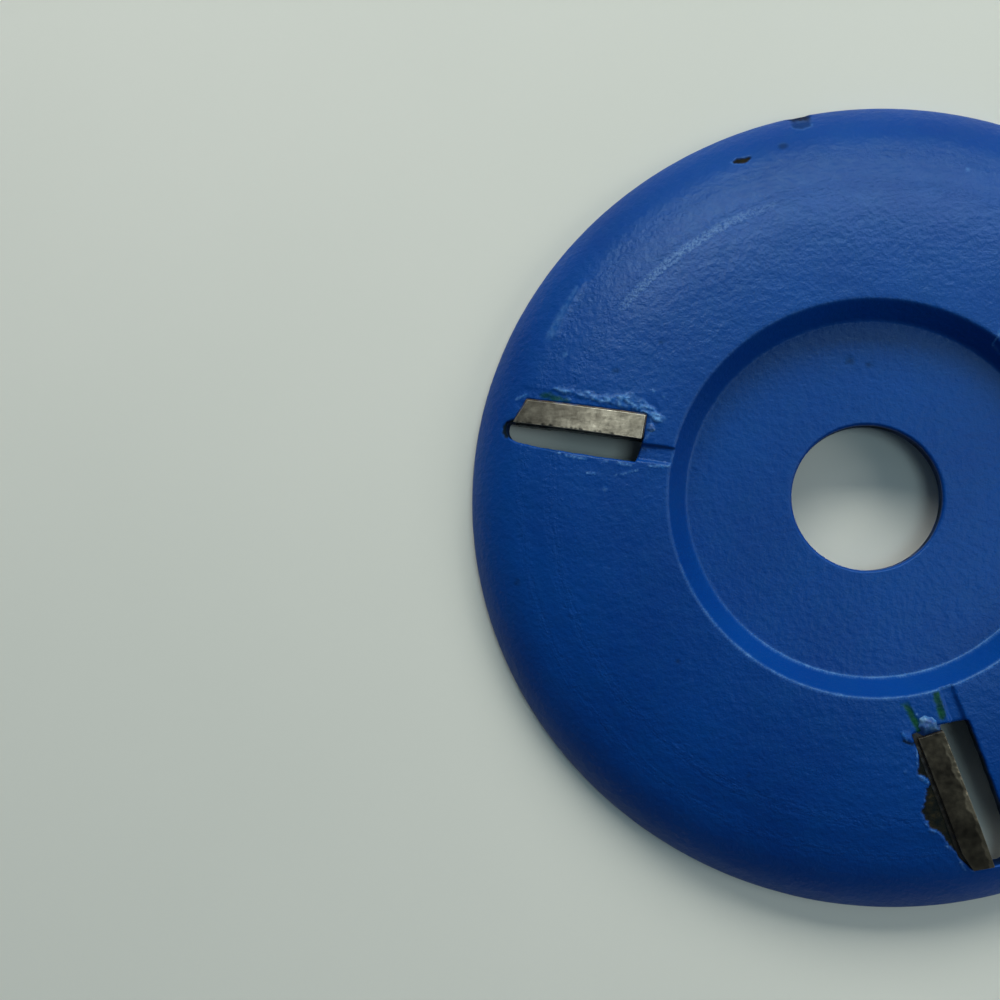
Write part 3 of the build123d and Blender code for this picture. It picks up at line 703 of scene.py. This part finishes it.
for t in TEETH:
    u, v = to_uv(cen[:, 0], cen[:, 1], t)
    s = (u > 24) & (u < 42.5) & (v > -6.5) & (v < 2)
    ii = np.zeros(len(cen), bool); ii[s] = inside(u[s], v[s], [tuple(p) for p in t["loop_uv"]])
    ok &= ~ii
G = G[ok]
rw = np.hypot(W[:, 0], W[:, 1])
zb = np.interp(rw, BR, BZ)
hub = 1 - step(21.6, 22.6, rw)
zb = zb + drop(W, 0.12, {"bore": 0.25}) + (1 - hub) * step(43.4, 42.6, rw) * (0.010 * noise(W[:, 0], W[:, 1], 2.2, 21) + 0.02 * noise(W[:, 0], W[:, 1], 8.0, 22))
db = np.zeros(len(W)); lb = np.zeros(len(W)); bb = np.zeros(len(W))
for t in TEETH:     # heat marks beside the brazed seats
    u, v = to_uv(W[:, 0], W[:, 1], t)
    q = line_dist(u, v, [(26, t["lead"] - t["w"]), (39, t["lead"] - t["w"])]) + 0.9 * noise(W[:, 0], W[:, 1], 1.8, 23 + t["n"])
    bb = np.maximum(bb, 0.9 * (1 - step(0.7, 1.7, q)))
c0 = B.verts(np.column_stack([W, zb]), dark=db, light=lb, burnt=bb); B.tris(G[:, ::-1] + c0)
brim, bbore = idb[0] + c0, idb[1] + c0
bslot = [i + c0 for i in idb[2:]]

# rim, from the domed face round to the hollow back
rimprof = [(44.72, float(np.interp(44.72, PR, PZ))), (44.84, float(PZ[-1]))]
for k in range(1, 5): a = k / 5; rimprof.append((44.84 + 0.16 * math.sin(a * math.pi / 2), PZ[-1] + (RIM_Z - PZ[-1]) * (a ** 1.15)))
for k in range(0, 9):
    a = math.pi / 2 * k / 8; rimprof.append((FOOT_R + (OUTER_R - FOOT_R) * math.cos(a), RIM_Z + (RIM_BOTTOM - RIM_Z) * math.sin(a)))
rimprof += [(44.1, RIM_BOTTOM), (43.92, RIM_BOTTOM + 0.01), (43.78, RIM_BOTTOM + 0.14), (43.6, -1.45)]
prev = frim; th = np.arange(NR) * 2 * math.pi / NR
for i, (r, zz) in enumerate(rimprof):
    x, y = r * np.cos(th), r * np.sin(th)
    inner = 0.5 * (1 + noise(th * 45, th * 0 + zz * 3, 2.2, 25)) * 0.018 + np.clip(noise(th * 45, th * 0 + zz, 0.7, 26), 0, 1) * 0.012
    ch = 0.16 * np.exp(-((th * 45 - math.atan2(43.6, -6.3) * 45) / 0.9) ** 4) * (1.0 if zz > -1.2 else 0.4)
    rad = r - (inner + ch if 1 <= i <= 15 else 0)
    Mi = features(x, y)[1] if i < 8 else {}
    # pale patches on the outer rounding of the rim
    rim_pale_patches = np.clip(noise(th * 45, th * 0 + zz * 2, 1.6, 27) * 1.6 - 0.55, 0, 0.5) * (1 if 5 <= i <= 13 else 0)
    at = {"light": np.maximum(Mi.get("light", 0), rim_pale_patches), "burnt": Mi.get("burnt", np.zeros(NR)), "dark": Mi.get("dark", np.zeros(NR))}
    s0 = B.verts(np.column_stack([rad * np.cos(th), rad * np.sin(th), np.full(NR, zz)]), **at)
    cur = np.arange(NR) + s0; B.strip(prev, cur, True); prev = cur
B.strip(prev, brim, True)


def wall_rows(top, bot, n, roughness, seed, outward):
    allv = np.concatenate(B.v); T, Bo = allv[top], allv[bot]
    prev = top
    for k in range(1, n):
        s = k / n; P = T * (1 - s) + Bo * s
        w = math.sin(math.pi * s) ** 0.5
        a = np.arange(len(P)) * 0.15
        off = np.clip(noise(a, a * 0 + P[:, 2], 0.9, seed) + 0.5 * noise(a, P[:, 2], 0.4, seed + 1), -0.2, 1) * roughness * w
        P[:, :2] += outward * off[:, None]
        # painted shade: the walls are darkened, more with depth, standing for shadow in the slots and bore as well as
        # dark steel
        s0 = B.verts(P, dark=np.full(len(P), 0.55 + 0.25 * s), burnt=np.clip(noise(a, P[:, 2], 1.8, seed + 2) * 1.2 + 0.25, 0, 0.9) * step(0.15, 0.4, s))
        cur = np.arange(len(P)) + s0; B.strip(prev, cur); prev = cur
    B.strip(prev, bot)


# bore wall: the loop runs counter-clockwise, so its strip faces the axis
B_b = np.concatenate(B.v)[fbore]
wall_rows(fbore, bbore, 8, 0.02, 91, B_b[:, :2] / BORE_R)
for t, ft, bt in zip(TEETH, fslot, bslot):
    L = t["loop"]; tg = np.roll(L, -1, 0) - np.roll(L, 1, 0); tg /= np.linalg.norm(tg, axis=1)[:, None]
    wall_rows(ft, bt, 8, 0.05, 93 + 3 * t["n"], np.stack([tg[:, 1], -tg[:, 0]], 1))
body = B.make("painted_body", PAINT)
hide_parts("disc_body")


# ------------------------------------------------------------------ closed plates for the tips and the braze
def plate(Bd, t, pts, top, bot, h, er_t, er_b, rows, attr_t, attr_b, attr_w, rough=0.0, seed=1, corner=0.05):
    base = ccw(round_pts(pts, corner)) if corner else ccw(pts)
    L = resample(base, h); L = L[np.linalg.norm(L - np.roll(L, 1, 0), axis=1) > 0.012]
    poly = [tuple(p) for p in L]
    fr = [c for c in rows_off(L[::-1], [er_t * 0.03, er_t * 0.15, er_t * 0.45, er_t * 1.0, er_t * 1.0 + h * 0.7], h * 0.9)]
    x0, y0 = L.min(0); x1, y1 = L.max(0)
    g = hexgrid(x0, y0, x1, y1, h, seed)
    m = inside(g[:, 0], g[:, 1], poly); g = g[m]
    g = g[line_dist(g[:, 0], g[:, 1], poly, True) > er_t + h * 1.25]
    fr = np.concatenate(fr + [g]); fr = fr[inside(fr[:, 0], fr[:, 1], poly)]
    V, F, ix = cdt([L], fr, 1)
    d = line_dist(V[:, 0], V[:, 1], poly, True)
    fall = lambda e: np.where(d < e, e - np.sqrt(np.clip(e * e - (e - d) ** 2, 0, None)), 0.0)
    X, Y = to_xy(V[:, 0], V[:, 1], t)
    zt = top(V[:, 0], V[:, 1], d) - fall(er_t); zb = bot(V[:, 0], V[:, 1], d) + fall(er_b)
    zb = np.minimum(zb, zt - 0.02)
    a = Bd.verts(np.column_stack([X, Y, zt]), **attr_t(V[:, 0], V[:, 1], d)); Bd.tris(F + a)
    b = Bd.verts(np.column_stack([X, Y, zb]), **attr_b(V[:, 0], V[:, 1], d)); Bd.tris(F[:, ::-1] + b)
    li = ix[0]; prev = li + a
    lu, lv = V[li, 0], V[li, 1]; s_ = np.cumsum(np.full(len(li), h))
    tg = np.roll(V[li], -1, 0) - np.roll(V[li], 1, 0); tg /= np.linalg.norm(tg, axis=1)[:, None] + 1e-9
    for k in range(1, rows):
        s = k / rows; zz = zt[li] * (1 - s) + zb[li] * s
        off = -np.clip(noise(s_, zz, 0.7, seed + 5) + 0.3, 0, 1) * rough * math.sin(math.pi * s) ** 0.5
        uu, vv = lu + tg[:, 1] * off, lv - tg[:, 0] * off
        x, y = to_xy(uu, vv, t)
        q = Bd.verts(np.column_stack([x, y, zz]), **attr_w(uu, vv, zz, s)); cur = np.arange(len(li)) + q
        Bd.strip(prev, cur, True); prev = cur
    Bd.strip(prev, li + b, True)


def arc3(p, q, s):
    # height of the circle through three points of the side view
    (x1, y1), (x2, y2), (x3, y3) = p, q, s
    A = np.array([[2 * (x2 - x1), 2 * (y2 - y1)], [2 * (x3 - x1), 2 * (y3 - y1)]])
    c = np.linalg.solve(A, np.array([x2 * x2 - x1 * x1 + y2 * y2 - y1 * y1, x3 * x3 - x1 * x1 + y3 * y3 - y1 * y1]))
    R = math.hypot(x1 - c[0], y1 - c[1])
    return lambda u: c[1] + np.sqrt(np.clip(R * R - (u - c[0]) ** 2, 0, None))


TIP_TOP = {}
for t in TEETH:
    n = t["n"]; u0, um, u1 = t["u0"] - 0.8, (t["u0"] + t["u1"]) / 2, t["u1"] + 0.8
    ed = lambda u, p: (u, float(dome_z(math.hypot(u, t["lead"]))) + p)
    A = arc3(ed(u0, 0.60), ed(um, 0.68), ed(u1, 0.72)); T8 = math.tan(math.radians(8.0))
    ln = t["lead"]
    rs = np.random.RandomState(300 + n)
    nicks = [(rs.uniform(t["u0"] + 0.5, t["u1"] - 0.4), rs.uniform(0.05, 0.16), rs.uniform(0.02, 0.09)) for _ in range(26)]

    def tip_top(u, v, d, A=A, ln=ln, n=n, nicks=nicks):
        z = A(u) + (v - ln) * T8
        z = z - 0.006 - 0.007 * (noise(u, v, 1.1, 200 + n) + 0.6 * noise(u, v, 0.4, 210 + n) + 0.8) * step(0.02, 0.2, d)
        z = z - 0.0035 * (1 + noise(u * 0.35, v * 3.0, 0.35, 220 + n))
        for cu, w, dp in nicks:
            z = z - dp * np.exp(-((u - cu) / w) ** 2) * np.exp(-((v - ln) / (w * 0.9)) ** 2)
        if n == 2:   # worn land along the leading edge, with an uneven inner limit
            wl = 0.55 + 0.35 * noise(u, u * 0, 2.6, 230) + 0.25 * noise(u, u * 0, 0.9, 231)
            z = z - 0.030 * step(0.0, 0.35, wl - (ln - v)) * step(26.0, 27.5, u)
        return z
    TIP_TOP[n] = tip_top
    ua, ub = t["u0"], t["u1"]; za, zb_ = chain_z(BACK, ua) - 0.35, chain_z(BACK, ub) - 0.35
    tip_bot = lambda u, v, d, ua=ua, za=za, m=(zb_ - za) / (ub - ua): za + (u - ua) * m + 0.004 * (1 + noise(u, v, 0.8, 240))
    vl, vt = t["lead"], t["lead"] - t["w"]
    outline = [(t["u0"], vt), (t["u0"], vl), (t["u1"], vl)] + [(u, vl + f * t["w"]) for u, f in t["chamfer"]]
    D = Build()

    def at_top(u, v, d, ln=ln, n=n, w=t["w"]):
        # painted highlight: a pale band along the top face's edges, standing for edge glints
        e = 1 - step(0.01, 0.075 + 0.05 * np.clip(noise(u, v, 0.8, 250 + n), -1, 1), d)
        light = e * 0.55
        burnt = np.zeros(len(u))
        if n == 2:
            wl = 0.55 + 0.35 * noise(u, u * 0, 2.6, 230) + 0.25 * noise(u, u * 0, 0.9, 231)
            strip = step(0.0, 0.12, wl - (ln - v)) * step(26.6, 27.6, u)
            burnt = 0.74 + 0.22 * noise(u, v, 2.4, 251) + 0.15 * noise(u, v, 0.7, 252) - 0.48 * strip
            # painted highlight: a pale line along the inner part of the trailing edge
            trailing_glint = 1 - step(0.05, 0.16, v - (ln - w)); light = np.maximum(e * 0.16, 0.22 * trailing_glint * step(33, 28, u))
        else:
            # darker towards the outer end of the tip
            burnt = np.clip(0.30 * noise(u, v, 1.6, 253 + n) + 0.22 * noise(u, v, 0.55, 254 + n), 0, 0.6) + 0.42 * step(30.5, 38.5, u)
            for su, sv, sr in ((37.3, ln - 1.45, 0.22), (35.9, ln - 0.6, 0.3), (33.2, ln - 0.8, 0.42), (28.9, ln - 1.7, 0.24), (26.5, ln - 1.2, 0.2)):
                burnt = np.maximum(burnt, 0.42 * np.exp(-(np.hypot((u - su) * 0.8, v - sv + 0.1 * noise(u, v, 0.3, 256)) / sr) ** 2))
        return {"light": np.clip(light, 0, 1), "burnt": np.clip(burnt, 0, 0.95)}
    # painted shade: the tip's side faces darken downwards
    shaded_side_attrs = lambda u, v, zz, s, ln=ln: {"dark": np.clip(0.55 + 0.35 * s + 0.2 * noise(u, zz, 0.8, 260), 0, 1) * step(0.0, 0.05, s) * 0.9, "burnt": 0.3}
    at_bot = lambda u, v, d: {"burnt": np.clip(0.25 + 0.4 * noise(u, v, 1.5, 261), 0, 0.8)}
    plate(D, t, outline, tip_top, tip_bot, 0.115, 0.035, 0.05, 12, at_top, at_bot, shaded_side_attrs, 0.012, 400 + n, 0.05)
    o = D.make("ground_tip_%d" % n, CARB[n]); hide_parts("carbide_tip_%d" % n)

    # braze: seat filling, painted bead at the inner end, ragged film under the leading edge, fillet on the back
    D = Build(); fd = t["fill"]
    s = seat_pts(t, 0.06)
    lead_in = ln - 0.25
    seat = [s[0], (s[1][0], lead_in), (s[2][0], lead_in)] + s[3:]
    fill_top = lambda u, v, d, fd=fd, n=n: dome_z(np.hypot(u, v)) - fd - 0.02 + 0.05 * noise(u, v, 0.9, 270 + n) + 0.03 * noise(u, v, 0.35, 271 + n)
    bk = lambda u, v: np.interp(np.hypot(u, v), BR, BZ)
    fill_bot = lambda u, v, d, n=n: np.maximum(bk(u, v) - 0.16 + 0.05 * noise(u, v, 0.8, 273 + n), -1.85)
    plate(D, t, seat, fill_top, fill_bot, 0.2, 0.06, 0.12, 4,
          lambda u, v, d, n=n: {"burnt": np.full(len(u), 0.9 if n == 2 else 0.8), "dark": np.full(len(u), 0.35), "paint": np.clip(noise(u, v, 1.5, 274 + n) * 1.5 - (0.6 if n == 2 else 0.0), 0, 0.8)},
          lambda u, v, d: {"burnt": np.clip(0.25 + noise(u, v, 1.1, 275), 0, 1)}, lambda u, v, zz, s: {"burnt": 0.6}, 0.0, 500 + n, 0.05)
    # bead
    bu, bv = t["u0"] - 0.95, ln - t["w"] * 0.52
    ang = np.linspace(0, 2 * math.pi, 40, endpoint=False)
    rb = 1.0 + 0.15 * noise(np.cos(ang) * 2, np.sin(ang) * 2, 1.1, 280 + n) + 0.10 * noise(np.cos(ang) * 2, np.sin(ang) * 2, 0.5, 281 + n)
    hw, hl = (1.42, 1.12) if n == 2 else (1.05, 0.95)
    if n == 2: bu, bv = 24.32, -3.28
    bead_pts = [(bu + hl * rb[i] * math.cos(a) + (0.25 if math.cos(a) > 0 else 0), bv + hw * rb[i] * math.sin(a)) for i, a in enumerate(ang)]
    bh = t["bead"]

    def bead_top(u, v, d, n=n, bh=bh):
        g = dome_z(np.hypot(u, v)); cap = step(-0.05, 0.95, d)
        return g - 0.40 + (0.40 + bh) * cap + 0.10 * noise(u, v, 0.8, 282 + n) * cap + 0.05 * noise(u * 0.5, v, 0.30, 283 + n) * cap
    bead_bot = lambda u, v, d: dome_z(np.hypot(u, v)) - 0.62
    plate(D, t, bead_pts, bead_top, bead_bot, 0.13, 0.03, 0.02, 2,
          lambda u, v, d, n=n: {"paint": np.ones(len(u)), "light": np.clip((0.30 if n == 2 else 0.0) + 0.9 * noise(u * 0.5, v, 0.5, 284 + n) + (0.60 * step(24.5, 23.6, u) if n == 2 else 0), 0, 1) * step(0.08, 0.35, d)},
          lambda u, v, d: {"paint": 1.0}, lambda u, v, zz, s: {"paint": 1.0}, 0.0, 520 + n, 0)
    # dark braze film that ran down under the leading edge, blackened further as painted shade under the tip
    fu = np.arange(t["u0"] + 0.3, t["u1"] - 0.05, 0.16)
    thick = 0.07 + 0.05 * noise(fu, fu * 0, 1.3, 290 + n) + 0.04 * noise(fu, fu * 0, 0.5, 291 + n) + 0.10 * step(35.2, 36.6, fu) * (1.0 if n == 1 else 0.5)
    thick = np.clip(thick, 0.03, 0.3)
    film = [(float(a), ln - 0.12) for a in fu[::-1]] + [(float(a), ln + float(b)) for a, b in zip(fu, thick)]
    ft = lambda u, v, d, A=A, ln=ln: A(u) - 1.35 - 0.25 * noise(u, v * 0, 0.9, 292)
    fb = lambda u, v, d: bk(u, v) - 0.18
    plate(D, t, film, ft, fb, 0.12, 0.05, 0.05, 5, lambda u, v, d: {"burnt": 1.0, "dark": 0.8}, lambda u, v, d: {"burnt": 0.9, "dark": 0.5},
          lambda u, v, zz, s: {"burnt": 1.0, "dark": 0.75}, 0.0, 540 + n, 0)
    # back fillet
    f0, f1 = 28.0, 37.5; bvv = vt
    fu = np.linspace(f0, f1, 60)
    wd = 0.62 + 0.10 * noise(fu, fu * 0, 1.4, 295 + n) + 0.05 * noise(fu, fu * 0, 0.5, 296 + n)
    wd = wd * np.sqrt(np.clip(1 - ((fu - (f0 + f1) / 2) / ((f1 - f0) / 2 + 0.05)) ** 8, 0.05, 1))
    fil = [(float(a), bvv + 0.3) for a in fu[::-1]] + [(float(a), bvv - t["gap"] - float(b)) for a, b in zip(fu, wd)]

    def fil_bot(u, v, d, bvv=bvv, g=t["gap"]):
        q = np.clip((v - (bvv - g - 0.68)) / (0.68 + g), 0, 1)
        endf = np.clip((u - f0) / 0.5, 0, 1) * np.clip((f1 - u) / 0.5, 0, 1)
        return bk(u, v) + 0.03 - (0.70 * q ** 1.5 + 0.03 * noise(u, v, 0.6, 297)) * endf ** 0.5
    plate(D, t, fil, lambda u, v, d: bk(u, v) + 0.12, fil_bot, 0.15, 0.02, 0.03, 2, lambda u, v, d: {}, lambda u, v, d, n=n: {"burnt": np.clip(noise(u, v, 1.2, 298 + n) * 1.3 + 0.1, 0, 0.8)},
          lambda u, v, zz, s: {}, 0.0, 560 + n, 0)
    o = D.make("braze_fill_%d" % n, BRAZE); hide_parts("braze_joint_%d" % n)

# ------------------------------------------------------------------ floor, camera, light
fm = Mat("pale_floor")
fc = fm.ramp(fm.noise(9, 3), [(0.35, (0.655, 0.675, 0.60, 1)), (0.65, (0.685, 0.70, 0.625, 1))])
fm.link(fc, fm.b.inputs["Base Color"]); fm.b.inputs["Roughness"].default_value = 0.7; fm.b.inputs["Specular IOR Level"].default_value = 0.3
me = bpy.data.meshes.new("floor"); fz = RIM_BOTTOM * MM
k = 32; xs = np.linspace(-2.4, 2.4, k + 1)
me.from_pydata([(float(a), float(b), fz) for b in xs for a in xs], [], [(j * (k + 1) + i, j * (k + 1) + i + 1, (j + 1) * (k + 1) + i + 1, (j + 1) * (k + 1) + i) for j in range(k) for i in range(k)])
floor = bpy.data.objects.new("floor", me); bpy.context.scene.collection.objects.link(floor); me.materials.append(fm.m)

cam = bpy.data.cameras.new("camera"); co = bpy.data.objects.new("camera", cam); bpy.context.scene.collection.objects.link(co)
R = Matrix(((0.983287, 0.012497, 0.181631), (0.0, 0.997641, -0.068642), (-0.18206, 0.067494, 0.980968)))
co.matrix_world = Matrix.Translation(Vector((-15.495, -6.98, 141.659)) * MM) @ R.to_4x4()
cam.lens = 43.844; cam.sensor_width = 36; cam.shift_x = 0.00224; cam.shift_y = -0.02261; cam.clip_start = 0.01
bpy.context.scene.camera = co
bpy.context.scene.view_settings.view_transform = "Standard"

w = bpy.data.worlds.new("studio"); bpy.context.scene.world = w; w.use_nodes = True
w.node_tree.nodes["Background"].inputs[0].default_value = (0.49, 0.73, 1.0, 1)
w.node_tree.nodes["Background"].inputs[1].default_value = 0.09


def softbox(name, az, el, dist, sx, sy, energy, col, diffuse=True, gloss=True):
    l = bpy.data.lights.new(name, "AREA"); l.shape = "RECTANGLE"; l.size = sx; l.size_y = sy; l.energy = energy; l.color = col
    o = bpy.data.objects.new(name, l); bpy.context.scene.collection.objects.link(o)
    a, e = math.radians(az), math.radians(el)
    o.location = (dist * math.cos(e) * math.cos(a), dist * math.cos(e) * math.sin(a), dist * math.sin(e))
    o.rotation_euler = (Vector((0, 0, 0)) - o.location).to_track_quat("-Z", "Y").to_euler()
    o.visible_camera = False; o.visible_diffuse = diffuse; o.visible_glossy = gloss
    return o


softbox("key", 88, 28, 0.75, 0.90, 0.24, 7.3, (1.0, 0.995, 0.96), True, False)
softbox("side", -6, 31, 0.75, 0.34, 0.26, 1.30, (1.0, 0.995, 0.96))
softbox("over", -6, 73, 0.75, 0.22, 0.22, 0.90, (0.66, 0.88, 1.0))
softbox("strip", 120, 51, 0.75, 0.20, 0.08, 1.25, (0.95, 0.99, 1.0), False, True)
softbox("sheen", 84, 46, 0.75, 0.80, 0.26, 4.9, (0.94, 1.0, 0.98), False, True)
